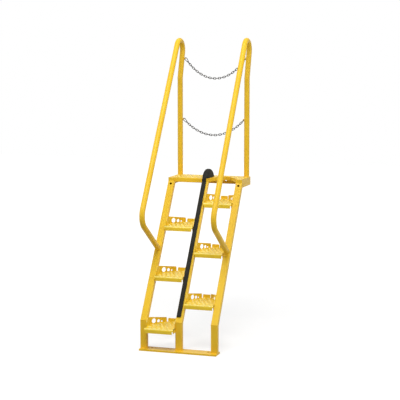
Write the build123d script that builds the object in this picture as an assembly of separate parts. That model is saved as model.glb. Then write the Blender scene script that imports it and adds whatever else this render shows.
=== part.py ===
from build123d import *
import math
import os

# An alternating tread stair of welded, painted steel: three inclined box-section
# stringers, six folded half-width treads that alternate left and right, a top
# landing, two pipe handrails with rear posts, and two guard chains.
#
# Millimetres. X is across the stair, Y runs back in the direction of the climb,
# Z is up. The origin lies on the underside of the base plate, on the middle line,
# level with the front faces of the stringers' feet.

# Overall sizes
overall_width = 600.0
landing_height = 1225.5
first_rise = 180.5
riser_count = 7
slope_deg = 56.0

# Stringers: rectangular tube with a vertical foot and a short vertical head
stringer_width = 50.8
stringer_depth = 38.1
stringer_wall = 3.2
stringer_corner = 4.0
foot_knee_height = 225.0
head_height = 26.0
head_cap_sheet = 3.0
bolt_hole_diameter = 19.0
bolt_hole_drop = 46.5

# Base plate and its anchor holes
base_thickness = 12.7
base_depth = 101.6
base_front = 34.0
anchor_diameter = 19.0
anchor_inset = 17.0
anchor_back = 36.0

# Treads: one folded sheet each
tread_sheet = 3.4
nose_overhang = 30.0
nose_radius = 7.0
lip_height = 36.0
lip_end_cut = 13.0
side_flange_height = 32.0
side_flange_lap = 30.0
wing_start = 22.0
rear_run = 236.0
rear_flange_width = 58.4
rear_flange_height = 27.4
rear_offset = 17.5
corner_gap = 9.5
wing_front_height = 66.0
wing_rear_height = 34.5
wing_corner = 7.0
wing_hole_runs = (95.0, 140.0, 172.5)
wing_hole_heights = (29.5, 21.0, 13.5)
wing_hole_diameters = (36.5, 25.4, 14.2)

# Top landing
landing_sheet = 4.0
landing_setback = 7.7
landing_depth = 243.0
landing_lip = 33.0
landing_nose_radius = 5.0
notch_depth = 173.0
notch_lip = 28.0
side_plate_height = 63.5
side_plate_sheet = 4.8
rear_flange_drop = 63.5
platform_hole_diameter = 14.0
platform_hole_pitch = 200.0
platform_hole_drop = 36.0

# Handrails and rear posts: pipe
pipe_diameter = 42.2
pipe_wall = 3.6
rail_offset = 465.0
rail_return_foot = 717.3
rail_low_radius = 100.0
rail_crown_radius = 74.0
post_inset = 24.0
post_lean_length = 204.3
post_lean_deg = 16.6
post_knee_radius = 60.0

# Guard chains, their hooks and eyes
chain_wire = 4.8
chain_inner_length = 20.0
chain_inner_width = 7.6
chain_play = 0.3
upper_chain_below_crown = 46.8
upper_chain_sag = 142.0
lower_chain_below_knee = 329.0
lower_chain_sag = 125.0
hook_wire = 5.0
hook_inner_length = 35.0
hook_wide_radius = 9.0
hook_narrow_radius = 5.2
eye_wire = 6.0
eye_reach = 3.2
eye_half_gap = 7.0

# Front pad and its rounded end
pad_width = 32.0
pad_shift = -4.5
pad_thickness = 12.5
pad_crown = 2.5
pad_above_knee = 37.3
cap_width = 54.0
cap_length = 188.0
cap_rise = 68.0
cap_lead = 2.0
cap_edge_radius = 24.0

# Worked-out places
slope = math.radians(slope_deg)
rise = (landing_height - first_rise) / (riser_count - 1)
stringer_x = (overall_width - stringer_width) / 2
bay_width = (overall_width - 3 * stringer_width) / 2
bay_x = (stringer_width + bay_width) / 2
head_knee_height = landing_height - head_height
mitre_drop = stringer_depth * (math.cos(slope) - (1 - math.sin(slope)) * math.tan(slope))

os.makedirs("parts", exist_ok=True)


def line_y(z):
    """Y of the stringers' inclined front face at height z."""
    return (z - foot_knee_height) / math.tan(slope)


def yz_prism(points, width, x_mid=0.0):
    """Prism of a closed outline given as (y, z) points, centred on x_mid."""
    outline = make_face(Polyline(*[(0, y, z) for y, z in points], close=True))
    return extrude(outline, amount=width / 2, dir=(1, 0, 0), both=True).moved(Location((x_mid, 0, 0)))


def box_tube(start, direction, length, x_mid):
    """Hollow box section along direction in the YZ plane; start is on its front face."""
    back = Vector(0, direction.Z, -direction.Y)
    plane = Plane(origin=start + back * (stringer_depth / 2), x_dir=(1, 0, 0), z_dir=direction)
    outer = RectangleRounded(stringer_width, stringer_depth, stringer_corner)
    inner = RectangleRounded(
        stringer_width - 2 * stringer_wall,
        stringer_depth - 2 * stringer_wall,
        stringer_corner - stringer_wall + 0.6,
    )
    return extrude(plane * (outer - inner), amount=length).moved(Location((x_mid, 0, 0)))


# Stringers and feet
# Each foot stands on the base plate and meets the inclined run in a mitre.

head_y = line_y(head_knee_height)
head_top = landing_height - head_cap_sheet
incline = Vector(0, math.cos(slope), math.sin(slope))
reach = 4 * stringer_depth


def make_foot(x_mid):
    tube = box_tube(Vector(0, 0, base_thickness), Vector(0, 0, 1), foot_knee_height, x_mid)
    region = [
        (-reach, base_thickness),
        (reach, base_thickness),
        (reach, foot_knee_height - mitre_drop * reach / stringer_depth),
        (-reach, foot_knee_height + mitre_drop * reach / stringer_depth),
    ]
    return tube & yz_prism(region, 2 * stringer_width, x_mid)


def make_stringer(x_mid, drilled):
    length = (head_knee_height - foot_knee_height) / math.sin(slope)
    start = Vector(0, 0, foot_knee_height) - incline * reach
    run = box_tube(start, incline, length + 2 * reach, x_mid)
    tilt = mitre_drop * reach / stringer_depth
    region = [
        (-reach, foot_knee_height + tilt),
        (reach, foot_knee_height - tilt),
        (head_y + reach, head_knee_height - tilt),
        (head_y - reach, head_knee_height + tilt),
    ]
    run = run & yz_prism(region, 2 * stringer_width, x_mid)
    head = box_tube(Vector(0, head_y, head_knee_height - reach), Vector(0, 0, 1), 2 * reach, x_mid)
    head_region = [
        (head_y + reach, head_knee_height - tilt),
        (head_y - reach, head_knee_height + tilt),
        (head_y - reach, head_top),
        (head_y + reach, head_top),
    ]
    head = head & yz_prism(head_region, 2 * stringer_width, x_mid)
    body = run + head
    if drilled:
        z_hole = landing_height - bolt_hole_drop
        drill = Plane(
            origin=(x_mid, line_y(z_hole), z_hole),
            x_dir=(1, 0, 0),
            z_dir=(0, math.sin(slope), -math.cos(slope)),
        )
        body = body - extrude(drill * Circle(bolt_hole_diameter / 2), amount=2 * stringer_wall, both=True)
    return body


def make_head_cap(x_mid):
    y_mid = head_y + stringer_depth / 2
    plane = Plane(origin=(x_mid, y_mid, head_top))
    return extrude(plane * RectangleRounded(stringer_width, stringer_depth, stringer_corner), amount=head_cap_sheet)


for side, x_mid in (("left", -stringer_x), ("center", 0.0), ("right", stringer_x)):
    export_step(make_foot(x_mid), f"parts/{side}_foot.step")
    export_step(make_stringer(x_mid, side != "center"), f"parts/{side}_stringer.step")
    export_step(make_head_cap(x_mid), f"parts/{side}_stringer_cap.step")

# Base plate
# A flat bar under the three feet, bolted to the floor beside the outer feet.

base_mid = base_depth / 2 - base_front
anchor_x = stringer_x - stringer_width / 2 - anchor_inset - anchor_diameter / 2
base = Box(overall_width, base_depth, base_thickness, align=(Align.CENTER, Align.CENTER, Align.MIN))
base = base.moved(Location((0, base_mid, 0)))
for side in (-1, 1):
    hole = Cylinder(anchor_diameter / 2, 3 * base_thickness)
    base = base - hole.moved(Location((side * anchor_x, anchor_back, base_thickness / 2)))
export_step(base, "parts/base_plate.step")


# Treads
# One folded sheet: a nose and lip in front, flanges down along the stringers, and
# three flanges turned up behind. The two wings lean in to a narrow rear flange
# and carry three round holes each, smaller towards the back.


def sheet_nose(front, top, radius, lip, sheet, width):
    """Rounded front edge with its lip, as a prism across x = 0."""
    back = front + radius + sheet
    outline = make_face(
        Polyline(
            (back, top),
            (front, top),
            (front, top - lip),
            (front + sheet, top - lip),
            (front + sheet, top - sheet),
            (back, top - sheet),
            close=True,
        )
    )
    outer = outline.vertices().sort_by_distance((front, top, 0))[0]
    outline = fillet(outer, radius)
    inner = outline.vertices().sort_by_distance((front + sheet, top - sheet, 0))[0]
    outline = fillet(inner, radius - sheet)
    return extrude(Plane.YZ * outline, amount=width / 2, both=True)


def make_wing(front, rear, sign):
    """Upright plate along the slanting edge of a tread, from its front to its rear point.
    Its front edge rises to the stringer's front line and then follows it."""
    along = Vector(rear[0] - front[0], rear[1] - front[1], 0)
    run_length = along.length
    along = along.normalized()
    plane = Plane(origin=(front[0], front[1], 0), x_dir=along, z_dir=(along.Y, -along.X, 0))
    stretch = run_length / (rear[1] - front[1])
    length = run_length - corner_gap
    front_rise = wing_start * math.tan(slope)
    top_start = (wing_front_height / math.tan(slope) - wing_start) * stretch
    outline = make_face(
        Polyline(
            (0, -tread_sheet),
            (length, -tread_sheet),
            (length, wing_rear_height),
            (top_start, wing_front_height),
            (0, front_rise),
            close=True,
        )
    )
    corner = outline.vertices().sort_by(Axis.X)[-2:].sort_by(Axis.Y)[-1]
    outline = fillet(corner, wing_corner)
    for hole_run, height, diameter in zip(wing_hole_runs, wing_hole_heights, wing_hole_diameters):
        at = ((hole_run - wing_start) * stretch, height)
        outline = outline - Pos(*at) * Circle(diameter / 2)
    return extrude(plane * outline, amount=sign * tread_sheet)


def make_tread(face):
    """Right-hand tread about its own bay middle: x towards the outer stringer, y from
    the stringer line, z from the tread's top. Its flanges lap what stands at y = face."""
    half = bay_width / 2
    front = -nose_overhang
    flange_back = face + side_flange_lap
    rear_left = -rear_offset - rear_flange_width / 2
    rear_right = -rear_offset + rear_flange_width / 2
    pan = extrude(
        make_face(
            Polyline(
                (-half, front + nose_radius),
                (half, front + nose_radius),
                (half, wing_start),
                (rear_right, rear_run),
                (rear_left, rear_run),
                (-half, wing_start),
                close=True,
            )
        ),
        amount=-tread_sheet,
    )
    nose = sheet_nose(front, 0, nose_radius, lip_height, tread_sheet, bay_width - 2 * lip_end_cut)
    body = pan + nose
    for side in (-1, 1):
        flange = make_face(
            Polyline(
                (0, front + nose_radius, 0),
                (0, flange_back, 0),
                (0, flange_back, -side_flange_height / 2),
                (0, flange_back - side_flange_height / 2, -side_flange_height),
                (0, front + nose_radius, -side_flange_height),
                close=True,
            )
        )
        plate = extrude(flange, amount=-side * tread_sheet, dir=(1, 0, 0))
        body = body + plate.moved(Location((side * half, 0, 0)))
    body = body + make_wing((-half, wing_start), (rear_left, rear_run), 1)
    body = body + make_wing((half, wing_start), (rear_right, rear_run), -1)
    rear_plane = Plane(origin=((rear_left + rear_right) / 2, rear_run, 0), x_dir=(1, 0, 0), z_dir=(0, -1, 0))
    plate = Pos(0, (rear_flange_height - tread_sheet) / 2) * Rectangle(
        rear_flange_width, rear_flange_height + tread_sheet
    )
    corners = plate.vertices().sort_by(Axis.Y)[-2:]
    plate = fillet(corners, wing_corner)
    return body + extrude(rear_plane * plate, amount=tread_sheet)


# The lowest tread lies below the knee, so its flanges run on to the upright foot.
tread_names = ("lower", "middle", "upper")
for step in range(1, riser_count):
    top = first_rise + (step - 1) * rise
    left = step % 2 == 1
    shape = make_tread(max(0.0, -line_y(top)))
    shape = mirror(shape, about=Plane.YZ) if left else shape
    x_mid = -bay_x if left else bay_x
    name = f"{'left' if left else 'right'}_{tread_names[(step - 1) // 2]}_tread"
    export_step(shape.moved(Location((x_mid, line_y(top), top))), f"parts/{name}.step")

# Top landing
# The left half is full; the right half is cut back in a notch of the treads' own
# outline, so that the heel on the tread below has room.

outer_x = overall_width / 2
inner_x = stringer_width / 2
head_back = head_y + stringer_depth
landing_front = head_y + landing_setback
landing_back = landing_front + landing_depth
notch_back = landing_front + notch_depth
notch_left = bay_x - rear_offset - rear_flange_width / 2
notch_right = bay_x - rear_offset + rear_flange_width / 2
plate_outline = make_face(
    Polyline(
        (-outer_x, head_back),
        (inner_x - stringer_width - bay_width, head_back),
        (inner_x - stringer_width - bay_width, landing_front + landing_nose_radius),
        (-inner_x, landing_front + landing_nose_radius),
        (-inner_x, head_back),
        (inner_x, head_back),
        (notch_left, notch_back),
        (notch_right, notch_back),
        (outer_x - stringer_width, head_back),
        (outer_x, head_back),
        (outer_x, landing_back),
        (-outer_x, landing_back),
        close=True,
    )
)
plate_plane = Plane(origin=(0, 0, landing_height))
landing = extrude(plate_plane * plate_outline, amount=-landing_sheet)
landing_nose = sheet_nose(landing_front, landing_height, landing_nose_radius, landing_lip, landing_sheet, bay_width)
landing = landing + landing_nose.moved(Location((-bay_x, 0, 0)))
export_step(landing, "parts/top_landing.step")

# Notch lip: a bent strip under the edge of the notch
lip_path = [
    (inner_x, head_back),
    (notch_left, notch_back),
    (notch_right, notch_back),
    (outer_x - stringer_width, head_back),
]
lip_outer = make_face(Polyline(*lip_path, close=True))
lip_band = offset(lip_outer, amount=landing_sheet, kind=Kind.INTERSECTION) - lip_outer
keep = Pos(bay_x, (head_back + notch_back + landing_sheet) / 2) * Rectangle(
    bay_width, notch_back + landing_sheet - head_back
)
lip_plane = Plane(origin=(0, 0, landing_height - landing_sheet))
notch = extrude(lip_plane * (lip_band & keep), amount=-(notch_lip - landing_sheet))
export_step(notch, "parts/landing_notch_lip.step")

# Side plates and rear flange under the landing
side_top = landing_height - landing_sheet
for side, name in ((-1, "left"), (1, "right")):
    plate = Box(
        side_plate_sheet,
        landing_back - head_back,
        side_plate_height - landing_sheet,
        align=(Align.CENTER, Align.MIN, Align.MAX),
    )
    x_mid = side * (outer_x - side_plate_sheet / 2)
    export_step(plate.moved(Location((x_mid, head_back, side_top))), f"parts/landing_{name}_side_plate.step")

flange_width = overall_width - 2 * side_plate_sheet
flange = Box(
    flange_width,
    landing_sheet,
    rear_flange_drop - landing_sheet,
    align=(Align.CENTER, Align.MAX, Align.MAX),
).moved(Location((0, landing_back, side_top)))
for side in (-1, 1):
    drill = Plane(
        origin=(side * platform_hole_pitch / 2, landing_back, landing_height - platform_hole_drop),
        z_dir=(0, -1, 0),
    )
    flange = flange - extrude(drill * Circle(platform_hole_diameter / 2), amount=2 * landing_sheet, both=True)
export_step(flange, "parts/landing_rear_flange.step")


# Handrails and posts
# A rail leaves the stringer at a right angle, turns up along the slope, loops over
# the crown and comes down into the rear post, which has one shallow knee. The crown's
# middle is one radius inside both the rail's line and the post's leaning line, and
# that sets the height of the knee.

rail_normal = Vector(0, -math.sin(slope), math.cos(slope))
lean = math.radians(post_lean_deg)
up_lean = Vector(0, math.sin(lean), math.cos(lean))
lean_normal = Vector(0, -math.cos(lean), math.sin(lean))
post_y = landing_back - post_inset
post_rise = up_lean * post_lean_length + lean_normal * rail_crown_radius
crown_inset = rail_offset - rail_crown_radius
knee_lift = crown_inset - (post_rise + Vector(0, post_y, 0)).dot(rail_normal)
post_knee_height = foot_knee_height + knee_lift / math.cos(slope)
knee = Vector(0, post_y, post_knee_height)


def pipe(path, inner_too=True):
    """Pipe along a planar path, hollow or as a solid bar of the same outside."""
    plane = Plane(origin=path @ 0, x_dir=(1, 0, 0), z_dir=path % 0)
    bar = sweep(plane * Circle(pipe_diameter / 2), path=path)
    if inner_too:
        bar = bar - sweep(plane * Circle(pipe_diameter / 2 - pipe_wall), path=path)
    return bar


def arc_between(centre, radius, start, end):
    """Arc about centre from start to end, by its shorter side."""
    middle = ((start - centre).normalized() + (end - centre).normalized()).normalized()
    return ThreePointArc(start, centre + middle * radius, end)


crown = knee + post_rise
crown_start = crown + rail_normal * rail_crown_radius
crown_end = crown - lean_normal * rail_crown_radius
crown_top = crown + (rail_normal - lean_normal + incline).normalized() * rail_crown_radius
return_start = Vector(0, line_y(rail_return_foot), rail_return_foot)
low_corner = return_start + rail_normal * rail_offset
low_in = low_corner - rail_normal * rail_low_radius
low_out = low_corner + incline * rail_low_radius
rail_path = Wire(
    [
        Line(return_start, low_in),
        arc_between(low_in + incline * rail_low_radius, rail_low_radius, low_in, low_out),
        Line(low_out, crown_start),
        ThreePointArc(crown_start, crown_top, crown_end),
    ]
)

knee_trim = post_knee_radius * math.tan(lean / 2)
knee_in = knee + up_lean * knee_trim
knee_out = knee - Vector(0, 0, knee_trim)
post_path = Wire(
    [
        Line(crown_end, knee_in),
        arc_between(knee_out + Vector(0, post_knee_radius, 0), post_knee_radius, knee_in, knee_out),
        Line(knee_out, Vector(0, post_y, landing_height)),
    ]
)
rail = pipe(rail_path)
post = pipe(post_path)
post_bar = pipe(post_path, inner_too=False)
for side, name in ((-1, "left"), (1, "right")):
    shift = Location((side * stringer_x, 0, 0))
    export_step(rail.moved(shift), f"parts/{name}_handrail.step")
    export_step(post.moved(shift), f"parts/{name}_rear_post.step")

# Chain eyes
# Each eye is a bent rod welded to the inner side of a post: level on the left post,
# where a hook hangs in it, and upright on the right post, where the last link does.


eye_middle = stringer_x - pipe_diameter / 2 - eye_reach


def post_mid_y(z):
    return post_y + max(0.0, z - post_knee_height) * math.tan(lean)


def make_eye(z, side):
    """Staple on the post at height z; side is -1 on the left post and 1 on the right."""
    root = Vector(stringer_x, post_mid_y(z), z)
    bend = Vector(eye_middle, post_mid_y(z), z)
    spread = Vector(0, 0, eye_half_gap) if side > 0 else Vector(0, eye_half_gap, 0)
    legs = Wire(
        [
            Line(root + spread, bend + spread),
            ThreePointArc(bend + spread, bend - Vector(eye_half_gap, 0, 0), bend - spread),
            Line(bend - spread, root - spread),
        ]
    )
    plane = Plane(origin=legs @ 0, x_dir=(0, 1, 0), z_dir=(-1, 0, 0))
    staple = sweep(plane * Circle(eye_wire / 2), path=legs)
    staple = staple - post_bar.moved(Location((stringer_x, 0, 0)))
    staple = staple.solids().sort_by(Axis.X)[0]
    return staple if side > 0 else mirror(staple, about=Plane.YZ)


# Chains
# Every link is its own loop of wire, standing at a right angle to its neighbours. The
# left end hangs from a pear-shaped hook, so that the way through can be opened.

link_pitch = chain_inner_length - chain_play
link_half_width = (chain_inner_width + chain_wire) / 2
link_half_length = (chain_inner_length + chain_wire) / 2
hook_pull = hook_inner_length - chain_play
hook_hold = (eye_wire + chain_play) / 2
eye_hold = eye_half_gap - eye_wire / 2 - chain_play / 2


def make_link():
    """One link about the origin, long along X and wide along Y."""
    nip = link_half_width * 0.5
    corners = [
        (link_half_length, nip),
        (link_half_length - link_half_width + nip, link_half_width),
        (-link_half_length + link_half_width - nip, link_half_width),
        (-link_half_length, nip),
        (-link_half_length, -nip),
        (-link_half_length + link_half_width - nip, -link_half_width),
        (link_half_length - link_half_width + nip, -link_half_width),
        (link_half_length, -nip),
    ]
    path = Polyline(*corners, close=True)
    plane = Plane(origin=path @ 0, x_dir=(0, 0, 1), z_dir=path % 0)
    section = RegularPolygon(chain_wire / 2, 6)
    return sweep(plane * section, path=path, transition=Transition.RIGHT)


def make_hook():
    """Pear-shaped loop in the XY plane: it bears at x = 0 on its eye and narrows along X."""
    wide_x = hook_wide_radius - (hook_wire + chain_play) / 2
    narrow_x = hook_inner_length - hook_narrow_radius + (hook_wire - chain_play) / 2
    tangent = math.acos((hook_wide_radius - hook_narrow_radius) / (narrow_x - wide_x))
    out = Vector(math.cos(tangent), math.sin(tangent), 0)
    down = Vector(out.X, -out.Y, 0)
    wide = Vector(wide_x, 0, 0)
    narrow = Vector(narrow_x, 0, 0)
    tip = narrow + Vector(hook_narrow_radius, 0, 0)
    back = wide - Vector(hook_wide_radius, 0, 0)
    path = Wire(
        [
            Line(wide + out * hook_wide_radius, narrow + out * hook_narrow_radius),
            ThreePointArc(narrow + out * hook_narrow_radius, tip, narrow + down * hook_narrow_radius),
            Line(narrow + down * hook_narrow_radius, wide + down * hook_wide_radius),
            ThreePointArc(wide + down * hook_wide_radius, back, wide + out * hook_wide_radius),
        ]
    )
    plane = Plane(origin=path @ 0, x_dir=(0, 0, 1), z_dir=path % 0)
    return sweep(plane * Circle(hook_wire / 2), path=path)


def hang(pulls, span):
    """Angle of each piece of a chain with these lengths, hung from two level points."""
    middles = [sum(pulls[:i]) + pull / 2 for i, pull in enumerate(pulls)]

    def angles(steepness):
        low, high = 0.0, sum(pulls)
        for _ in range(50):
            trial = (low + high) / 2
            turn = [math.atan(steepness * (m - trial)) for m in middles]
            climb = sum(pull * math.sin(a) for pull, a in zip(pulls, turn))
            low, high = (trial, high) if climb > 0 else (low, trial)
        return turn

    low, high = 0.0, 1.0
    for _ in range(50):
        trial = (low + high) / 2
        across = sum(pull * math.cos(a) for pull, a in zip(pulls, angles(trial)))
        low, high = (trial, high) if across > span else (low, trial)
    return angles(low)


def make_chain(z, sag):
    """Hook and links hung between the two eyes at height z, sagging by about sag."""
    span = 2 * eye_middle - eye_half_gap
    length = span * (1 + 8 / 3 * (sag / span) ** 2)
    spare = (length - hook_pull + hook_hold - eye_hold) / link_pitch
    count = 2 * round((spare - 1) / 2) + 1
    pulls = [hook_pull - hook_hold] + [link_pitch] * (count - 1) + [link_pitch + eye_hold]
    turn = hang(pulls, span)
    courses = [Vector(math.cos(a), 0, math.sin(a)) for a in turn]
    joint = Vector(eye_half_gap - eye_middle, post_mid_y(z), z) - courses[0] * hook_hold
    hook = Plane(origin=joint, x_dir=courses[0], z_dir=(0, -1, 0)).location * make_hook()
    joint = joint + courses[0] * hook_pull
    link = make_link()
    links = []
    for i, along in enumerate(courses[1:]):
        middle = joint + along * (link_pitch / 2)
        normal = Vector(-along.Z, 0, along.X) if i % 2 == 0 else Vector(0, -1, 0)
        links.append(Plane(origin=middle, x_dir=along, z_dir=normal).location * link)
        joint = joint + along * link_pitch
    return hook, Compound(children=[Solid(item.solids()[0].wrapped) for item in links])


for name, z, sag in (
    ("upper", crown_end.Z - upper_chain_below_crown, upper_chain_sag),
    ("lower", post_knee_height - lower_chain_below_knee, lower_chain_sag),
):
    hook, chain = make_chain(z, sag)
    export_step(make_eye(z, -1), f"parts/{name}_left_chain_eye.step")
    export_step(make_eye(z, 1), f"parts/{name}_right_chain_eye.step")
    export_step(hook, f"parts/{name}_chain_hook.step")
    export_step(chain, f"parts/{name}_chain.step")

# Front pad and its rounded end
# A rubber strip up the middle stringer, ending in a half-round block on the landing.

pad_outline = make_face(
    [
        Line((-pad_width / 2, 0), (pad_width / 2, 0)),
        Line((pad_width / 2, 0), (pad_width / 2, pad_thickness - pad_crown)),
        ThreePointArc(
            (pad_width / 2, pad_thickness - pad_crown),
            (0, pad_thickness),
            (-pad_width / 2, pad_thickness - pad_crown),
        ),
        Line((-pad_width / 2, pad_thickness - pad_crown), (-pad_width / 2, 0)),
    ]
)
pad_bottom = foot_knee_height + pad_above_knee
pad_start = Vector(0, line_y(pad_bottom), pad_bottom)
pad_plane = Plane(origin=pad_start, x_dir=(-1, 0, 0), z_dir=incline)
pad_length = (head_knee_height - pad_bottom) / math.sin(slope)
pad_run = extrude(pad_plane * pad_outline, amount=pad_length + reach)
head_plane = Plane(origin=(0, head_y, head_knee_height - reach), x_dir=(-1, 0, 0), z_dir=(0, 0, 1))
pad_head = extrude(head_plane * pad_outline, amount=reach + head_height)
tilt = mitre_drop * reach / stringer_depth
below = [
    (head_y - reach, head_knee_height + tilt),
    (head_y + reach, head_knee_height - tilt),
    (head_y + reach, 0),
    (-reach, 0),
    (-reach, head_knee_height + tilt),
]
above = [
    (head_y - reach, head_knee_height + tilt),
    (head_y + reach, head_knee_height - tilt),
    (head_y + reach, landing_height + reach),
    (head_y - reach, landing_height + reach),
]
pad = (pad_run & yz_prism(below, 2 * stringer_width)) + (pad_head & yz_prism(above, 2 * stringer_width))
export_step(pad.moved(Location((pad_shift, 0, 0))), "parts/center_pad.step")

cap_front = head_y - cap_lead
cap_radius = (cap_rise**2 + (cap_length / 2) ** 2) / (2 * cap_rise)
cap_disc = Pos(cap_front + cap_length / 2, landing_height + cap_rise - cap_radius) * Circle(cap_radius)
cap_window = Pos(cap_front + cap_length / 2, landing_height + cap_rise) * Rectangle(2 * cap_length, 2 * cap_rise)
cap = extrude(Plane.YZ * (cap_disc & cap_window), amount=cap_width / 2, both=True)
cap = fillet(cap.edges().filter_by(GeomType.CIRCLE), cap_edge_radius)
export_step(cap, "parts/pad_cap.step")
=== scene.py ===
import math

import bmesh
import bpy
import numpy as np
from mathutils import Matrix, Vector
from mathutils.geometry import tessellate_polygon


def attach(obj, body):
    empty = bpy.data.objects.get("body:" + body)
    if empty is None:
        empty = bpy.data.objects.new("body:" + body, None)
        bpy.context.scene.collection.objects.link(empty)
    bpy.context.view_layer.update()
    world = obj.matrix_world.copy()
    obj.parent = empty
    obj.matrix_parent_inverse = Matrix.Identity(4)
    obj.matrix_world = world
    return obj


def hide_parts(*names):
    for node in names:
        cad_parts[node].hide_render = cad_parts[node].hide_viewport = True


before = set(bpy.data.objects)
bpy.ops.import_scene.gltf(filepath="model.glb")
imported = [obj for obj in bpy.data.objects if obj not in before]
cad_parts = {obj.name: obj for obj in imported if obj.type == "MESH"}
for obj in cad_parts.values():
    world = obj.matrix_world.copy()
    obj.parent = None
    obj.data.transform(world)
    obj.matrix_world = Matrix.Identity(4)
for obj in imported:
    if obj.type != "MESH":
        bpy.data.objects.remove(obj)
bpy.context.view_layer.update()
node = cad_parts


# Stringers, feet and base plate
# Box tube on a flat bar, welded and then powder coated in a semi-gloss yellow. The coat
# has a fine orange peel, drifts slightly in tone and is rubbed duller in patches.

yellow_light = (0.955, 0.610, 0.034, 1)
yellow_deep = (0.905, 0.555, 0.026, 1)
base_top = 0.0127
foot_depth = 0.0381
stringer_width = 0.0508
stringer_x = 0.2746
foot_knee = 0.2250
mitre_drop = 0.01165
slope = math.radians(56)
ground_flush = 0.003
base_bead = 0.0036
mitre_bead = 0.0017
bead_step = 0.0008
bead_ripple = 0.0032
bead_taper = 0.003
bead_sides = 8
wander = np.random.default_rng(11)


def make_paint(name, light, deep, shiny, dull, patch_scale):
    """Powder coat. Tone = light..deep by slow noise; roughness = shiny..dull by rubbed
    patches; height = 0.35 mm x fine noise, so the sheen breaks up as orange peel does."""
    paint = bpy.data.materials.new(name)
    paint.use_nodes = True
    n, link = paint.node_tree.nodes, paint.node_tree.links.new
    shader = n["Principled BSDF"]
    shader.inputs["Specular IOR Level"].default_value = 0.22
    place = n.new("ShaderNodeTexCoord")

    drift = n.new("ShaderNodeTexNoise")
    drift.inputs["Scale"].default_value = patch_scale
    drift.inputs["Detail"].default_value = 4.0
    link(place.outputs["Object"], drift.inputs["Vector"])
    tone = n.new("ShaderNodeMix")
    tone.data_type = "RGBA"
    tone.inputs["A"].default_value = light
    tone.inputs["B"].default_value = deep
    spread = n.new("ShaderNodeMapRange")
    spread.inputs["From Min"].default_value = 0.35
    spread.inputs["From Max"].default_value = 0.75
    link(drift.outputs["Fac"], spread.inputs["Value"])
    link(spread.outputs["Result"], tone.inputs["Factor"])
    link(tone.outputs["Result"], shader.inputs["Base Color"])

    rub = n.new("ShaderNodeTexNoise")
    rub.inputs["Scale"].default_value = 38.0
    rub.inputs["Detail"].default_value = 6.0
    rub.inputs["Roughness"].default_value = 0.65
    link(place.outputs["Object"], rub.inputs["Vector"])
    gloss = n.new("ShaderNodeMapRange")
    gloss.inputs["From Min"].default_value = 0.3
    gloss.inputs["From Max"].default_value = 0.7
    gloss.inputs["To Min"].default_value = shiny
    gloss.inputs["To Max"].default_value = dull
    link(rub.outputs["Fac"], gloss.inputs["Value"])
    link(gloss.outputs["Result"], shader.inputs["Roughness"])

    grain = n.new("ShaderNodeTexNoise")
    grain.inputs["Scale"].default_value = 420.0
    grain.inputs["Detail"].default_value = 2.0
    link(place.outputs["Object"], grain.inputs["Vector"])
    relief = n.new("ShaderNodeBump")
    relief.inputs["Strength"].default_value = 0.25
    relief.inputs["Distance"].default_value = 0.00035
    link(grain.outputs["Fac"], relief.inputs["Height"])
    link(relief.outputs["Normal"], shader.inputs["Normal"])
    return paint


def dress(names, finish):
    """Gives the named nodes one material in every slot."""
    for name in names:
        mesh = node[name].data
        if not mesh.materials:
            mesh.materials.append(finish)
        for i in range(len(mesh.materials)):
            mesh.materials[i] = finish


def fit_piece(name, shapes, finish):
    """Joins (vertices, faces) surfaces into one smooth piece on the stair."""
    starts = np.cumsum([0] + [len(points) for points, _ in shapes])
    faces = [
        [int(v) + start for v in face]
        for (_, rows), start in zip(shapes, starts)
        for face in rows
    ]
    points = np.concatenate([points for points, _ in shapes])
    mesh = bpy.data.meshes.new(name)
    mesh.from_pydata(points.tolist(), [], faces)
    mesh.polygons.foreach_set("use_smooth", np.ones(len(mesh.polygons), dtype=bool))
    mesh.set_sharp_from_angle(angle=math.radians(60))
    mesh.materials.append(finish)
    piece = bpy.data.objects.new(name, mesh)
    bpy.context.scene.collection.objects.link(piece)
    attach(piece, "root")
    return piece


def round_bar(line, up, radius, sides, closed):
    """Tube round a flat line: point(i, j) = line_i + radius_i (cos a_j side_i + sin a_j up),
    with side = travel x up. An open tube has a flat face at each end."""
    up = np.array(up, float)
    travel = np.roll(line, -1, axis=0) - np.roll(line, 1, axis=0)
    if not closed:
        travel[0], travel[-1] = line[1] - line[0], line[-1] - line[-2]
    side = np.cross(travel, up)
    side = side / np.linalg.norm(side, axis=1, keepdims=True)
    turn = np.linspace(0, 2 * np.pi, sides, endpoint=False)
    ring = np.cos(turn)[None, :, None] * side[:, None] + np.sin(turn)[None, :, None] * up
    points = line[:, None] + np.broadcast_to(radius, len(line))[:, None, None] * ring
    spans = len(line) if closed else len(line) - 1
    i, j = np.meshgrid(np.arange(spans), np.arange(sides), indexing="ij")
    k, m = (i + 1) % len(line), (j + 1) % sides
    quads = np.stack([i * sides + j, k * sides + j, k * sides + m, i * sides + m], axis=-1)
    faces = quads.reshape(-1, 4).tolist()
    if not closed:
        faces.append(list(range(sides)))
        faces.append(list(range(len(line) * sides - 1, (len(line) - 1) * sides - 1, -1)))
    return points.reshape(-1, 3), faces


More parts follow.
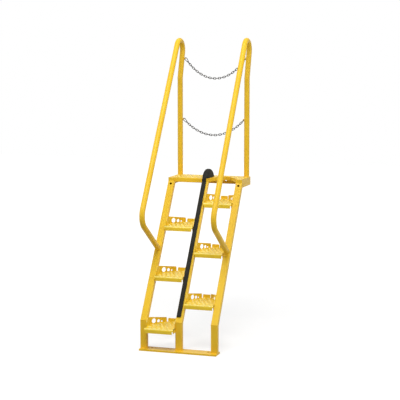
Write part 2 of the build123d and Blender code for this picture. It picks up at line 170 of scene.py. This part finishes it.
def weld_bead(corners, up, closed, radius):
    """Bead along a line of corners, rounded by a mean of 5 points: radius = r (1 + 0.11
    sin(2 pi s / ripple) + 0.05 sin(170 s + random)), and an open bead thins at its ends."""
    corners = np.array(corners, float)
    if closed:
        corners = np.concatenate([corners, corners[:1]])
    along = np.concatenate([[0], np.cumsum(np.linalg.norm(np.diff(corners, axis=0), axis=1))])
    count = int(along[-1] / bead_step)
    s = np.linspace(0, along[-1], count, endpoint=not closed)
    line = np.stack([np.interp(s, along, corners[:, axis]) for axis in range(3)], axis=1)
    before, after = (line[-2:], line[:2]) if closed else (line[[0, 0]], line[[-1, -1]])
    wide = np.concatenate([before, line, after])
    line = sum(wide[k : k + count] for k in range(5)) / 5
    ripple = 0.11 * np.sin(2 * np.pi * s / bead_ripple)
    drift = 0.05 * np.sin(s * 170 + wander.uniform(0, 6))
    size = radius * (1 + ripple + drift)
    if not closed:
        size = size * np.clip(np.minimum(s, along[-1] - s) / bead_taper, 0.25, 1)
    return round_bar(line, up, size, bead_sides, closed)


yellow_coat = make_paint("yellow_powder_coat", yellow_light, yellow_deep, 0.30, 0.46, 5.0)
stringer_parts = ("foot", "stringer", "stringer_cap")
dress(["base_plate"], yellow_coat)
for side in ("left", "center", "right"):
    dress([f"{side}_{part}" for part in stringer_parts], yellow_coat)

# Each foot is welded to the bar, and to the stringer at the mitre, but not on the outer
# face, which is ground flush.
foot_joints = ((base_top, base_top, base_bead), (foot_knee, foot_knee - mitre_drop, mitre_bead))
half_width = stringer_width / 2
foot_welds = []
for x_mid, inner in ((-stringer_x, 1), (stringer_x, -1)):
    outer_end = x_mid - inner * (half_width - ground_flush)
    inner_face = x_mid + inner * half_width
    for front_z, back_z, size in foot_joints:
        lean = np.array([0, front_z - back_z, foot_depth])
        corners = [
            (outer_end, 0, front_z),
            (inner_face, 0, front_z),
            (inner_face, foot_depth, back_z),
            (outer_end, foot_depth, back_z),
        ]
        foot_welds.append(weld_bead(corners, lean / np.linalg.norm(lean), False, size))
for front_z, back_z, size in foot_joints:
    lean = np.array([0, front_z - back_z, foot_depth])
    corners = [
        (-half_width, 0, front_z),
        (half_width, 0, front_z),
        (half_width, foot_depth, back_z),
        (-half_width, foot_depth, back_z),
    ]
    foot_welds.append(weld_bead(corners, lean / np.linalg.norm(lean), True, size))
fit_piece("foot_welds", foot_welds, yellow_coat)


# Treads
# One folded sheet each, welded between two stringers by its side flanges, with sides that turn
# up and taper to the heel. Rows of pressed buttons grip the sole. The buttons and the rolled nose
# are pale and shiny, partly from wear by the sole and partly as a painted highlight, and the sheets
# have a paler, yellower copy of the powder coat that stands in for the light on the treads.

landing_top = 1.2255
first_rise = 0.1805
rise = (landing_top - first_rise) / 6
half_bay = 0.1119
bay_x = 0.1373
nose_overhang = 0.030
nose_radius = 0.0165
lip_height = 0.036
lip_end_cut = 0.007
wing_start = 0.022
wing_bend = 0.103
# Heights of an upturned side at the stringer, at the bend and at the heel, and for each of
# its holes the run behind the nosing line, the height above the tread and the diameter.
wing_heights = (0.064, 0.056, 0.0366)
wing_holes = ((0.130, 0.0230, 0.0365), (0.164, 0.0166, 0.0254), (0.188, 0.0106, 0.0142))
wing_corner = 0.007
rear_run = 0.236
rear_left = -0.0467
rear_right = 0.0117
rear_height = 0.0274
flange_height = 0.032
flange_lap = 0.030
tread_sheet = 0.0034
corner_gap = 0.016
bend_radius = 0.006
button_pitch = 0.035
row_pitch = 0.038
first_row = 0.019
button_rows = 7
button_edge = 0.0165
tread_bead = 0.0026
bead_setback = 0.002
bead_top = -0.003
# Faces of the nose that tilt forward and up at least this much, towards the front light, get the
# pale coat: wear and a painted highlight.
highlight_forward = 0.38
highlight_upward = 0.50


def line_y(z):
    """Y of the stringers' inclined front face at height z."""
    return (z - foot_knee) / math.tan(slope)


def plate(outline, holes, origin, across, upward, thickness):
    """Flat plate: point(s, t, w) = origin + s across + t upward + w normal, with (s, t) in
    the outline and outside the holes, and w from 0 to the thickness."""
    across, upward = np.array(across, float), np.array(upward, float)
    loops = [np.array(outline, float)]
    turn = np.linspace(0, 2 * np.pi, 28, endpoint=False)
    for s, t, diameter in holes:
        across_hole, up_hole = diameter / 2 * np.cos(turn), diameter / 2 * np.sin(turn)
        loops.append(np.stack([s + across_hole, t - up_hole], axis=1))
    flat = np.concatenate(loops)
    near = np.array(origin, float) + flat[:, :1] * across + flat[:, 1:] * upward
    points = np.concatenate([near, near + thickness * np.cross(across, upward)])
    corners = [[Vector((float(u), float(v), 0.0)) for u, v in loop] for loop in loops]
    caps = [list(tri) for tri in tessellate_polygon(corners)]
    faces = caps + [[v + len(flat) for v in tri[::-1]] for tri in caps]
    start = 0
    for loop in loops:
        i = start + np.arange(len(loop))
        m = start + (np.arange(len(loop)) + 1) % len(loop)
        faces += np.stack([i, m, m + len(flat), i + len(flat)], axis=-1).tolist()
        start += len(loop)
    return points, faces


def rounded(corner, toward, away, radius):
    """Arc that rounds a corner: corner + r (1 - sin a) toward + r (1 - cos a) away."""
    turn = np.linspace(0, np.pi / 2, 6)[:, None]
    first = radius * (1 - np.sin(turn)) * np.array(toward, float)
    second = radius * (1 - np.cos(turn)) * np.array(away, float)
    return (np.array(corner) + first + second).tolist()


def turn_up_side(edge, rear_x, inward):
    """The two plates of an upturned side: one along the stringer, whose front edge follows
    the stringer's line, and one from the bend towards the heel, with three holes."""
    front_rise = wing_start * math.tan(slope)
    top_start = wing_heights[0] / math.tan(slope)
    straight = [
        (wing_start, -tread_sheet),
        (wing_bend, -tread_sheet),
        (wing_bend, wing_heights[1]),
        (top_start, wing_heights[0]),
        (wing_start, front_rise),
    ]
    run = np.array([rear_x - edge, rear_run - wing_bend])
    run_length = np.linalg.norm(run)
    run = run / run_length
    length = run_length - corner_gap
    stretch = run_length / (rear_run - wing_bend)
    slanted = [(0, -tread_sheet), (length, -tread_sheet)]
    slanted += rounded((length, wing_heights[2]), (0, -1), (-1, 0), wing_corner)
    slanted += [(0, wing_heights[1])]
    holes = [((y - wing_bend) * stretch, height, diameter) for y, height, diameter in wing_holes]
    side_sheet = inward * tread_sheet
    first = plate(straight, [], (edge, 0, 0), (0, 1, 0), (0, 0, 1), side_sheet)
    second = plate(slanted, holes, (edge, wing_bend, 0), (*run, 0), (0, 0, 1), side_sheet)
    return [first, second]


def fold_tread(flange_end):
    """Right-hand tread about its own bay middle: pan, rolled nose and lip, side flanges
    down to the stringers, upturned sides and rear flange."""
    front = -nose_overhang
    roll_y = front + nose_radius
    pan = [(-half_bay, roll_y), (half_bay, roll_y), (half_bay, wing_bend)]
    pan += [(rear_right, rear_run), (rear_left, rear_run), (-half_bay, wing_bend)]
    shapes = [plate(pan, [], (0, 0, -tread_sheet), (1, 0, 0), (0, 1, 0), tread_sheet)]
    turn = np.linspace(0, np.pi / 2, 13)
    inner = nose_radius - tread_sheet
    roll = [
        (roll_y - radius * np.sin(a), -nose_radius + radius * np.cos(a))
        for radius, angles in ((nose_radius, turn), (inner, turn[::-1]))
        for a in angles
    ]
    shapes.append(plate(roll, [], (-half_bay, 0, 0), (0, 1, 0), (0, 0, 1), 2 * half_bay))
    lip_x = half_bay - lip_end_cut
    lip = [(-lip_x, -lip_height), (lip_x, -lip_height)]
    lip += [(lip_x, -nose_radius), (-lip_x, -nose_radius)]
    shapes.append(plate(lip, [], (0, front + tread_sheet, 0), (1, 0, 0), (0, 0, 1), tread_sheet))
    flange = [(roll_y, -flange_height), (flange_end - flange_height / 2, -flange_height)]
    flange += [(flange_end, -flange_height / 2), (flange_end, 0), (roll_y, 0)]
    shapes.append(plate(flange, [], (-half_bay, 0, 0), (0, 1, 0), (0, 0, 1), tread_sheet))
    shapes.append(plate(flange, [], (half_bay, 0, 0), (0, 1, 0), (0, 0, 1), -tread_sheet))
    shapes += turn_up_side(-half_bay, rear_left, 1)
    shapes += turn_up_side(half_bay, rear_right, -1)
    rear = [(rear_left, -tread_sheet), (rear_right, -tread_sheet)]
    rear += rounded((rear_right, rear_height), (0, -1), (-1, 0), wing_corner)
    rear += rounded((rear_left, rear_height), (0, -1), (1, 0), wing_corner)[::-1]
    shapes.append(plate(rear, [], (0, rear_run, 0), (1, 0, 0), (0, 0, 1), tread_sheet))
    return shapes


def press_buttons(centres, top):
    """Pressed buttons: ring(i, j) = centre + r_i (cos a_j, sin a_j) + (0, 0, h_i), from a
    skirt in the sheet over a crown at 3.4 mm down into a dished middle."""
    radius = np.array([0.0105, 0.0090, 0.0066, 0.0042])
    height = np.array([-0.0004, 0.0026, 0.0034, 0.0024])
    dish = [[0, 0, 0.0002]]
    rings, sides = len(radius), 10
    turn = np.linspace(0, 2 * np.pi, sides, endpoint=False)
    across = radius[:, None] * np.cos(turn)
    along = radius[:, None] * np.sin(turn)
    ring = np.stack([across, along, np.broadcast_to(height[:, None], across.shape)], axis=-1)
    one = np.concatenate([ring.reshape(-1, 3), dish])
    centre = np.concatenate([centres, np.full((len(centres), 1), top)], axis=1)
    points = (centre[:, None] + one).reshape(-1, 3)
    i, j = np.meshgrid(np.arange(rings - 1) * sides, np.arange(sides), indexing="ij")
    m = (j + 1) % sides
    walls = np.stack([i + j, i + m, i + sides + m, i + sides + j], axis=-1).reshape(-1, 4)
    last = (rings - 1) * sides
    middle = [[last + j, last + (j + 1) % sides, last + sides] for j in range(sides)]
    faces = walls.tolist() + middle + [list(range(sides - 1, -1, -1))]
    return points, [[v + len(one) * b for v in face] for b in range(len(centres)) for face in faces]


def face_outwards(mesh):
    """Turns the faces of closed plates outwards."""
    shell = bmesh.new()
    shell.from_mesh(mesh)
    bmesh.ops.recalc_face_normals(shell, faces=shell.faces)
    shell.to_mesh(mesh)
    shell.free()
    mesh.set_sharp_from_angle(angle=math.radians(30))


def bend_strip(start, end, inward, radius):
    """Hollow side of a bend along a line: point(a) = corner + r (1 - cos a) inward
    + r (1 - sin a) up, a from 0 to 90 degrees, closed through the sheet behind it."""
    turn = np.linspace(0, np.pi / 2, 6)
    sunk = 0.0006
    vertical = np.array([0, 0, 1.0])
    across = np.concatenate([[-sunk, -sunk], radius * (1 - np.cos(turn)), [radius]])
    upward = np.concatenate([[-sunk, radius], radius * (1 - np.sin(turn)), [-sunk]])
    inward = np.append(np.array(inward, float), 0.0)
    ring = across[:, None] * inward + upward[:, None] * vertical
    points = np.concatenate([np.array(start) + ring, np.array(end) + ring])
    count = len(ring)
    i = np.arange(count)
    m = (i + 1) % count
    sides = np.stack([i, m, m + count, i + count], axis=-1).tolist()
    faces = sides + [list(range(count - 1, -1, -1)), list(range(count, 2 * count))]
    hollow_normal = np.cross(ring[2] - ring[1], points[count] - points[0])
    flip = np.dot(hollow_normal, inward + vertical) < 0
    return points, [face[::-1] for face in faces] if flip else faces


# Pale coat of the buttons and the nose: wear by the sole plus a painted highlight.
wear_highlight_pale = (1.000, 0.860, 0.300, 1)
wear_highlight_deep = (0.950, 0.660, 0.060, 1)
# The treads' coat is a paler, yellower copy of the yellow powder coat: painted light, standing in
# for the light the treads catch and cancelling the orange bounce between their sheets.
tread_light = (0.935, 0.665, 0.045, 1)
tread_deep = (0.865, 0.590, 0.034, 1)
wear_and_highlight_coat = make_paint("wear_and_highlight_yellow_coat", wear_highlight_pale, wear_highlight_deep, 0.18, 0.34, 60.0)
lit_tread_coat = make_paint("tread_powder_coat", tread_light, tread_deep, 0.30, 0.46, 9.0)
dress([n for n in node if n.endswith("_tread")], lit_tread_coat)
tread_names = ("lower", "middle", "upper")
tread_welds = []
tread_bends = []
for step in range(1, 7):
    hand = -1 if step % 2 == 1 else 1
    top = first_rise + (step - 1) * rise
    nose_line = line_y(top)
    name = f"{'left' if hand < 0 else 'right'}_{tread_names[(step - 1) // 2]}_tread"

    row, column = np.meshgrid(np.arange(button_rows), np.arange(-4, 5), indexing="ij")
    y = -nose_overhang + first_row + row * row_pitch
    x = (column + 0.5 * (row % 2)) * button_pitch
    along = np.clip((y - wing_bend) / (rear_run - wing_bend), 0, 1)
    low = -half_bay + (rear_left + half_bay) * along + button_edge
    high = half_bay + (rear_right - half_bay) * along - button_edge
    fits = (x > low) & (x < high) & (y < rear_run - button_edge)
    centres = np.stack([hand * (bay_x + x[fits]), nose_line + y[fits]], axis=1)
    # The buttons get the pale coat: worn crowns with a painted highlight.
    fit_piece(f"{name}_grip", [press_buttons(centres, top)], wear_and_highlight_coat)

    for edge, rear_x, turned in ((-half_bay, rear_left, 1), (half_bay, rear_right, -1)):
        run = np.array([rear_x - edge, rear_run - wing_bend])
        run_length = np.linalg.norm(run)
        run = run / run_length
        inner = turned * np.array([run[1], -run[0]])
        knee = np.array([edge + turned * tread_sheet, wing_bend])
        last = np.array([edge, wing_bend]) + inner * tread_sheet + run * (run_length - corner_gap)
        corners = ((knee[0], wing_start), knee, last)
        ends = [(hand * (bay_x + x), nose_line + y, top) for x, y in corners]
        tread_bends.append(bend_strip(ends[0], ends[1], (hand * turned, 0), bend_radius))
        tread_bends.append(bend_strip(ends[1], ends[2], (hand * inner[0], inner[1]), bend_radius))
    rear_y = nose_line + rear_run - tread_sheet
    ends = [(hand * (bay_x + x), rear_y, top) for x in (rear_left, rear_right)]
    tread_bends.append(bend_strip(ends[0], ends[1], (0, -1), bend_radius))

    meets = max(0.0, -nose_line)
    mirror, spot = np.array([hand, 1, 1]), np.array([hand * bay_x, nose_line, top])
    sheet = [(points * mirror + spot, faces) for points, faces in fold_tread(meets + flange_lap)]
    folded = fit_piece(f"{name}_sheet", sheet, lit_tread_coat)
    face_outwards(folded.data)
    # Nose faces turned forward and up get the pale coat, a painted highlight on top of wear.
    folded.data.materials.append(wear_and_highlight_coat)
    for face in folded.data.polygons:
        if -face.normal.y > highlight_forward and face.normal.z > highlight_upward:
            face.material_index = 1
    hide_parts(name)

    front = bead_setback + (meets if meets else -flange_height / math.tan(slope))
    back = meets + flange_lap
    for edge in (-half_bay, half_bay):
        face_x = hand * (bay_x + edge)
        outline = [(front, -flange_height), (back - flange_height / 2, -flange_height)]
        outline += [(back, -flange_height / 2), (back, bead_top)]
        corners = [(face_x, nose_line + y, top + z) for y, z in outline]
        tread_welds.append(weld_bead(corners, (1, 0, 0), False, tread_bead))
fit_piece("tread_welds", tread_welds, yellow_coat)
fit_piece("tread_bends", tread_bends, lit_tread_coat)


# Top landing
# Folded plate with its side plates, rear flange and heel notch, pressed with the same
# buttons as the treads wherever nothing stands on it.

landing_front = 0.6650
landing_back = 0.9080
head_back = 0.6954
outer_x = 0.3000
inner_x = 0.0254
cap_half_width = 0.027
cap_back = 0.844
post_y = 0.8840
pipe_radius = 0.0211
bay_outer = 0.2492
notch_back = 0.8380
lip_room = 0.003
notch_x = (inner_x, bay_x + rear_left, bay_x + rear_right, bay_outer)
notch_y = (head_back, notch_back, notch_back, head_back)

dress(["top_landing", "landing_notch_lip", "landing_rear_flange"], yellow_coat)
dress(["landing_left_side_plate", "landing_right_side_plate"], yellow_coat)
row, column = np.meshgrid(np.arange(button_rows), np.arange(-9, 10), indexing="ij")
y = landing_front + first_row + row * row_pitch
x = (column + 0.5 * (row % 2)) * button_pitch
in_left_bay = (x > -bay_outer + button_edge) & (x < -inner_x - button_edge)
fits = (np.abs(x) < outer_x - button_edge) & (y < landing_back - button_edge)
fits &= in_left_bay | (y > head_back + button_edge)
fits &= (np.abs(x) > cap_half_width + button_edge) | (y > cap_back + button_edge)
fits &= np.hypot(np.abs(x) - stringer_x, y - post_y) > pipe_radius + button_edge
behind_notch = y > np.interp(x, notch_x, notch_y) + button_edge + lip_room
fits &= (x < inner_x) | (x > bay_outer) | behind_notch
landing_buttons = press_buttons(np.stack([x[fits], y[fits]], axis=1), landing_top)
# The landing's buttons get the same pale coat: wear with a painted highlight.
fit_piece("landing_grip", [landing_buttons], wear_and_highlight_coat)


# Handrails and rear posts
# Bent pipe. The rail is welded to the stringer's front and the post to the landing, each
# with one bead all round.

rail_foot = 0.7173
rail_bead = 0.0034
post_bead = 0.0026


def circle_line(centre, across, upward, radius, count):
    """Points of a circle: centre + radius (cos a across + sin a upward)."""
    turn = np.linspace(0, 2 * np.pi, count, endpoint=False)[:, None]
    ring = np.cos(turn) * np.array(across) + np.sin(turn) * np.array(upward)
    return np.array(centre) + radius * ring


dress(["left_handrail", "right_handrail", "left_rear_post", "right_rear_post"], yellow_coat)
rail_welds = []
for side in (-1, 1):
    foot = (side * stringer_x, line_y(rail_foot), rail_foot)
    ring = circle_line(foot, (1, 0, 0), (0, math.cos(slope), math.sin(slope)), pipe_radius, 90)
    rail_welds.append(weld_bead(ring, (0, -math.sin(slope), math.cos(slope)), True, rail_bead))
    foot = (side * stringer_x, post_y, landing_top)
    ring = circle_line(foot, (1, 0, 0), (0, 1, 0), pipe_radius, 90)
    rail_welds.append(weld_bead(ring, (0, 0, 1), True, post_bead))
fit_piece("rail_welds", rail_welds, yellow_coat)


# Guard chains
# Welded link chain of dark plated steel. Each hangs from a pear-shaped forged hook at the
# left and from its last link at the right, on eyes welded to the posts.

# Name, height and Y of each chain's eyes, and its number of links.
chain_heights = (("upper", 2.1483, 0.9284, 29), ("lower", 1.67027, post_y, 27))
link_pitch = 0.0197
link_half_width = 0.0062
link_half_length = 0.0124
chain_wire = 0.0048
hook_pull = 0.0347
hook_hold = 0.00315
eye_hold = 0.00385
eye_half_gap = 0.007
eye_middle = 0.2503
leg_radius = 0.003
eye_bead = 0.0013


def make_steel(name, dark, bright):
    """Plated steel. Colour = dark..bright and roughness = 0.60..0.34 by fine worn patches;
    height = 0.1 mm x noise."""
    steel = bpy.data.materials.new(name)
    steel.use_nodes = True
    n, link = steel.node_tree.nodes, steel.node_tree.links.new
    shader = n["Principled BSDF"]
    shader.inputs["Metallic"].default_value = 0.85
    place = n.new("ShaderNodeTexCoord")
    patches = n.new("ShaderNodeTexNoise")
    patches.inputs["Scale"].default_value = 160.0
    patches.inputs["Detail"].default_value = 5.0
    link(place.outputs["Object"], patches.inputs["Vector"])
    tone = n.new("ShaderNodeMix")
    tone.data_type = "RGBA"
    tone.inputs["A"].default_value = dark
    tone.inputs["B"].default_value = bright
    spread = n.new("ShaderNodeMapRange")
    spread.inputs["From Min"].default_value = 0.45
    spread.inputs["From Max"].default_value = 0.75
    link(patches.outputs["Fac"], spread.inputs["Value"])
    link(spread.outputs["Result"], tone.inputs["Factor"])
    link(tone.outputs["Result"], shader.inputs["Base Color"])
    gloss = n.new("ShaderNodeMapRange")
    gloss.inputs["From Min"].default_value = 0.3
    gloss.inputs["From Max"].default_value = 0.7
    gloss.inputs["To Min"].default_value = 0.60
    gloss.inputs["To Max"].default_value = 0.34
    link(patches.outputs["Fac"], gloss.inputs["Value"])
    link(gloss.outputs["Result"], shader.inputs["Roughness"])
    relief = n.new("ShaderNodeBump")
    relief.inputs["Strength"].default_value = 0.4
    relief.inputs["Distance"].default_value = 0.0001
    link(patches.outputs["Fac"], relief.inputs["Height"])
    link(relief.outputs["Normal"], shader.inputs["Normal"])
    return steel


def hang(pulls, span):
    """Angle of each piece of a hanging chain: atan(k (s - s0)), with s its middle along the
    chain, s0 set so that both ends are level and k so that they are span apart."""
    pulls = np.array(pulls)
    middle = np.cumsum(pulls) - pulls / 2
    low, high = 0.0, 1000.0
    for _ in range(60):
        steep = (low + high) / 2
        left, right = 0.0, pulls.sum()
        for _ in range(60):
            lowest = (left + right) / 2
            turn = np.arctan(steep * (middle - lowest))
            left, right = (lowest, right) if (pulls * np.sin(turn)).sum() > 0 else (left, lowest)
        low, high = (steep, high) if (pulls * np.cos(turn)).sum() > span else (low, steep)
    return turn


def make_link():
    """One link about the origin, long along X: wire round two half circles with straight
    sides, point = (+-a + R cos t, R sin t)."""
    turn = np.linspace(-np.pi / 2, np.pi / 2, 9)
    along = link_half_length - link_half_width + link_half_width * np.cos(turn)
    right_end = np.stack([along, link_half_width * np.sin(turn), 0 * turn], axis=1)
    return round_bar(np.concatenate([right_end, -right_end]), (0, 0, 1), chain_wire / 2, 8, True)


plated_dark, plated_bright = (0.055, 0.052, 0.048, 1), (0.17, 0.16, 0.145, 1)
chain_steel = make_steel("dark_plated_steel", plated_dark, plated_bright)
forged_dark, forged_bright = (0.016, 0.015, 0.013, 1), (0.060, 0.056, 0.050, 1)
hook_steel = make_steel("dark_forged_steel", forged_dark, forged_bright)
dress(["upper_chain", "lower_chain"], chain_steel)
dress(["upper_chain_hook", "lower_chain_hook"], hook_steel)
dress([n for n in node if n.endswith("_chain_eye")], yellow_coat)
link_points, link_faces = make_link()
for level, height, chain_y, count in chain_heights:
    pulls = [hook_pull - hook_hold] + [link_pitch] * (count - 1) + [link_pitch + eye_hold]
    turn = hang(pulls, 2 * eye_middle - eye_half_gap)
    course = np.stack([np.cos(turn), 0 * turn, np.sin(turn)], axis=1)
    eye = np.array([eye_half_gap - eye_middle, chain_y, height])
    start = eye + course[0] * (hook_pull - hook_hold)
    along = course[1:]
    earlier = (np.arange(count)[:, None] > np.arange(count)).astype(float)
    middle = start + earlier @ along * link_pitch + along * link_pitch / 2
    upward = np.stack([-along[:, 2], 0 * along[:, 0], along[:, 0]], axis=1)
    flat = np.arange(count)[:, None] % 2 == 0
    normal = np.where(flat, upward, np.array([0, -1.0, 0]))
    across = np.cross(normal, along)
    frames = np.stack([along, across, normal], axis=1)
    points = middle[:, None] + np.einsum("pc,lcx->lpx", link_points, frames)
    faces = [[v + len(link_points) * k for v in face] for k in range(count) for face in link_faces]
    shapes = [(points.reshape(-1, 3), faces)]
    links = fit_piece(f"{level}_chain_links", shapes, chain_steel)
    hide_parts(f"{level}_chain")

# Each leg of an eye has a small bead where it meets its post.
eye_welds = []
for _, height, chain_y, _ in chain_heights:
    for leg in (-eye_half_gap, eye_half_gap):
        level_x = -stringer_x + math.sqrt(pipe_radius**2 - eye_half_gap**2)
        level_leg = (level_x, chain_y + leg, height)
        upright_leg = (stringer_x - pipe_radius, chain_y, height + leg)
        for spot in (level_leg, upright_leg):
            ring = circle_line(spot, (0, 1, 0), (0, 0, 1), leg_radius, 26)
            eye_welds.append(weld_bead(ring, (1, 0, 0), True, eye_bead))
fit_piece("eye_welds", eye_welds, yellow_coat)


# Pad
# Black rubber: an extruded strip glued up the middle stringer, and a moulded half-round
# end on the landing. Matt, with a fine grain and faint grey scuffs.

rubber = bpy.data.materials.new("black_rubber")
rubber.use_nodes = True
n, link = rubber.node_tree.nodes, rubber.node_tree.links.new
shader = n["Principled BSDF"]
shader.inputs["Specular IOR Level"].default_value = 0.20
place = n.new("ShaderNodeTexCoord")

scuff = n.new("ShaderNodeTexNoise")
scuff.inputs["Scale"].default_value = 26.0
scuff.inputs["Detail"].default_value = 7.0
scuff.inputs["Roughness"].default_value = 0.7
link(place.outputs["Object"], scuff.inputs["Vector"])
spread = n.new("ShaderNodeMapRange")
spread.inputs["From Min"].default_value = 0.52
spread.inputs["From Max"].default_value = 0.80
link(scuff.outputs["Fac"], spread.inputs["Value"])
tone = n.new("ShaderNodeMix")
tone.data_type = "RGBA"
tone.inputs["A"].default_value = (0.012, 0.012, 0.008, 1)
tone.inputs["B"].default_value = (0.050, 0.047, 0.040, 1)
link(spread.outputs["Result"], tone.inputs["Factor"])
link(tone.outputs["Result"], shader.inputs["Base Color"])

gloss = n.new("ShaderNodeMapRange")
gloss.inputs["To Min"].default_value = 0.55
gloss.inputs["To Max"].default_value = 0.85
link(scuff.outputs["Fac"], gloss.inputs["Value"])
link(gloss.outputs["Result"], shader.inputs["Roughness"])

grain = n.new("ShaderNodeTexNoise")
grain.inputs["Scale"].default_value = 700.0
link(place.outputs["Object"], grain.inputs["Vector"])
relief = n.new("ShaderNodeBump")
relief.inputs["Strength"].default_value = 0.5
relief.inputs["Distance"].default_value = 0.0003
link(grain.outputs["Fac"], relief.inputs["Height"])
link(relief.outputs["Normal"], shader.inputs["Normal"])
dress(["center_pad", "pad_cap"], rubber)


# Studio
# Pale floor and white surroundings. The main soft light hangs high in front, with a weaker
# one at each side and a faint one from above.

world = bpy.data.worlds.new("studio_white")
world.use_nodes = True
bpy.context.scene.world = world
n, link = world.node_tree.nodes, world.node_tree.links.new
n.clear()
out = n.new("ShaderNodeOutputWorld")
seen = n.new("ShaderNodeBackground")
seen.inputs["Color"].default_value = (1, 1, 1, 1)
seen.inputs["Strength"].default_value = 1.0
glow = n.new("ShaderNodeBackground")
glow.inputs["Color"].default_value = (1, 1, 1, 1)
glow.inputs["Strength"].default_value = 0.20
path = n.new("ShaderNodeLightPath")
either = n.new("ShaderNodeMath")
either.operation = "MAXIMUM"
link(path.outputs["Is Camera Ray"], either.inputs[0])
link(path.outputs["Is Glossy Ray"], either.inputs[1])
also = n.new("ShaderNodeMath")
also.operation = "MAXIMUM"
link(either.outputs[0], also.inputs[0])
link(path.outputs["Is Transmission Ray"], also.inputs[1])
pick = n.new("ShaderNodeMixShader")
link(also.outputs[0], pick.inputs[0])
link(glow.outputs[0], pick.inputs[1])
link(seen.outputs[0], pick.inputs[2])
link(pick.outputs[0], out.inputs["Surface"])

floor_mesh = bpy.data.meshes.new("studio_floor")
floor_mesh.from_pydata([(-14, -14, 0), (14, -14, 0), (14, 14, 0), (-14, 14, 0)], [], [(0, 1, 2, 3)])
floor = bpy.data.objects.new("studio_floor", floor_mesh)
bpy.context.scene.collection.objects.link(floor)
floor_coat = bpy.data.materials.new("studio_floor")
floor_coat.use_nodes = True
n, link = floor_coat.node_tree.nodes, floor_coat.node_tree.links.new
matt = n["Principled BSDF"]
matt.inputs["Base Color"].default_value = (0.4, 0.4, 0.4, 1)
matt.inputs["Roughness"].default_value = 0.9
matt.inputs["Specular IOR Level"].default_value = 0.0
# What the camera and glossy surfaces see of the floor is lifted towards white: by 0.72 near
# the stair, where the shadow has to stay, and by 1 further off.
place = n.new("ShaderNodeTexCoord")
away = n.new("ShaderNodeVectorMath")
away.operation = "LENGTH"
link(place.outputs["Object"], away.inputs[0])
lift = n.new("ShaderNodeMapRange")
lift.interpolation_type = "SMOOTHSTEP"
lift.inputs["From Min"].default_value = 1.6
lift.inputs["From Max"].default_value = 4.5
lift.inputs["To Min"].default_value = 0.72
lift.inputs["To Max"].default_value = 1.0
link(away.outputs["Value"], lift.inputs["Value"])
ray = n.new("ShaderNodeLightPath")
amount = n.new("ShaderNodeMath")
amount.operation = "MAXIMUM"
link(ray.outputs["Is Camera Ray"], amount.inputs[0])
link(ray.outputs["Is Glossy Ray"], amount.inputs[1])
strength = n.new("ShaderNodeMath")
strength.operation = "MULTIPLY"
link(lift.outputs["Result"], strength.inputs[0])
link(amount.outputs[0], strength.inputs[1])
lit = n.new("ShaderNodeEmission")
link(strength.outputs[0], lit.inputs["Strength"])
both = n.new("ShaderNodeAddShader")
link(matt.outputs[0], both.inputs[0])
link(lit.outputs[0], both.inputs[1])
link(both.outputs[0], n["Material Output"].inputs["Surface"])
floor_mesh.materials.append(floor_coat)


def add_soft_light(name, place, aim, size, power):
    """Square area light at place, turned to aim."""
    lamp = bpy.data.lights.new(name, "AREA")
    lamp.size = size
    lamp.energy = power
    holder = bpy.data.objects.new(name, lamp)
    back = np.array(place, float) - np.array(aim, float)
    back = back / np.linalg.norm(back)
    side = np.cross((0, 0, 1), back)
    side = side / np.linalg.norm(side)
    up = np.cross(back, side)
    rows = [[side[i], up[i], back[i], place[i]] for i in range(3)]
    holder.matrix_world = Matrix(rows + [[0, 0, 0, 1]])
    bpy.context.scene.collection.objects.link(holder)


stair_middle = (0, 0.4, 1.2)
light_size = 3.0
add_soft_light("front_light", (0.24, -2.5, 6.4), stair_middle, light_size, 242)
add_soft_light("right_light", (5.1, -1.0, 2.6), stair_middle, light_size, 92)
add_soft_light("left_light", (-4.7, -2.1, 2.7), stair_middle, light_size, 76)
add_soft_light("top_light", (0.3, 1.2, 5.6), stair_middle, light_size, 22)

camera = bpy.data.cameras.new("photo_camera")
camera.sensor_width = 36.0
camera.lens = 111.37
camera.clip_end = 60.0
holder = bpy.data.objects.new("photo_camera", camera)
right = (0.95419, 0.29921, 0.0)
up = (-0.03838, 0.12240, 0.99175)
back = (0.29674, -0.94631, 0.12828)
spot = (2.826, -8.479, 2.2943)
rows = [[right[i], up[i], back[i], spot[i]] for i in range(3)]
holder.matrix_world = Matrix(rows + [[0, 0, 0, 1]])
bpy.context.scene.collection.objects.link(holder)
bpy.context.scene.camera = holder

bpy.context.scene.view_settings.view_transform = "Standard"

bpy.context.view_layer.update()
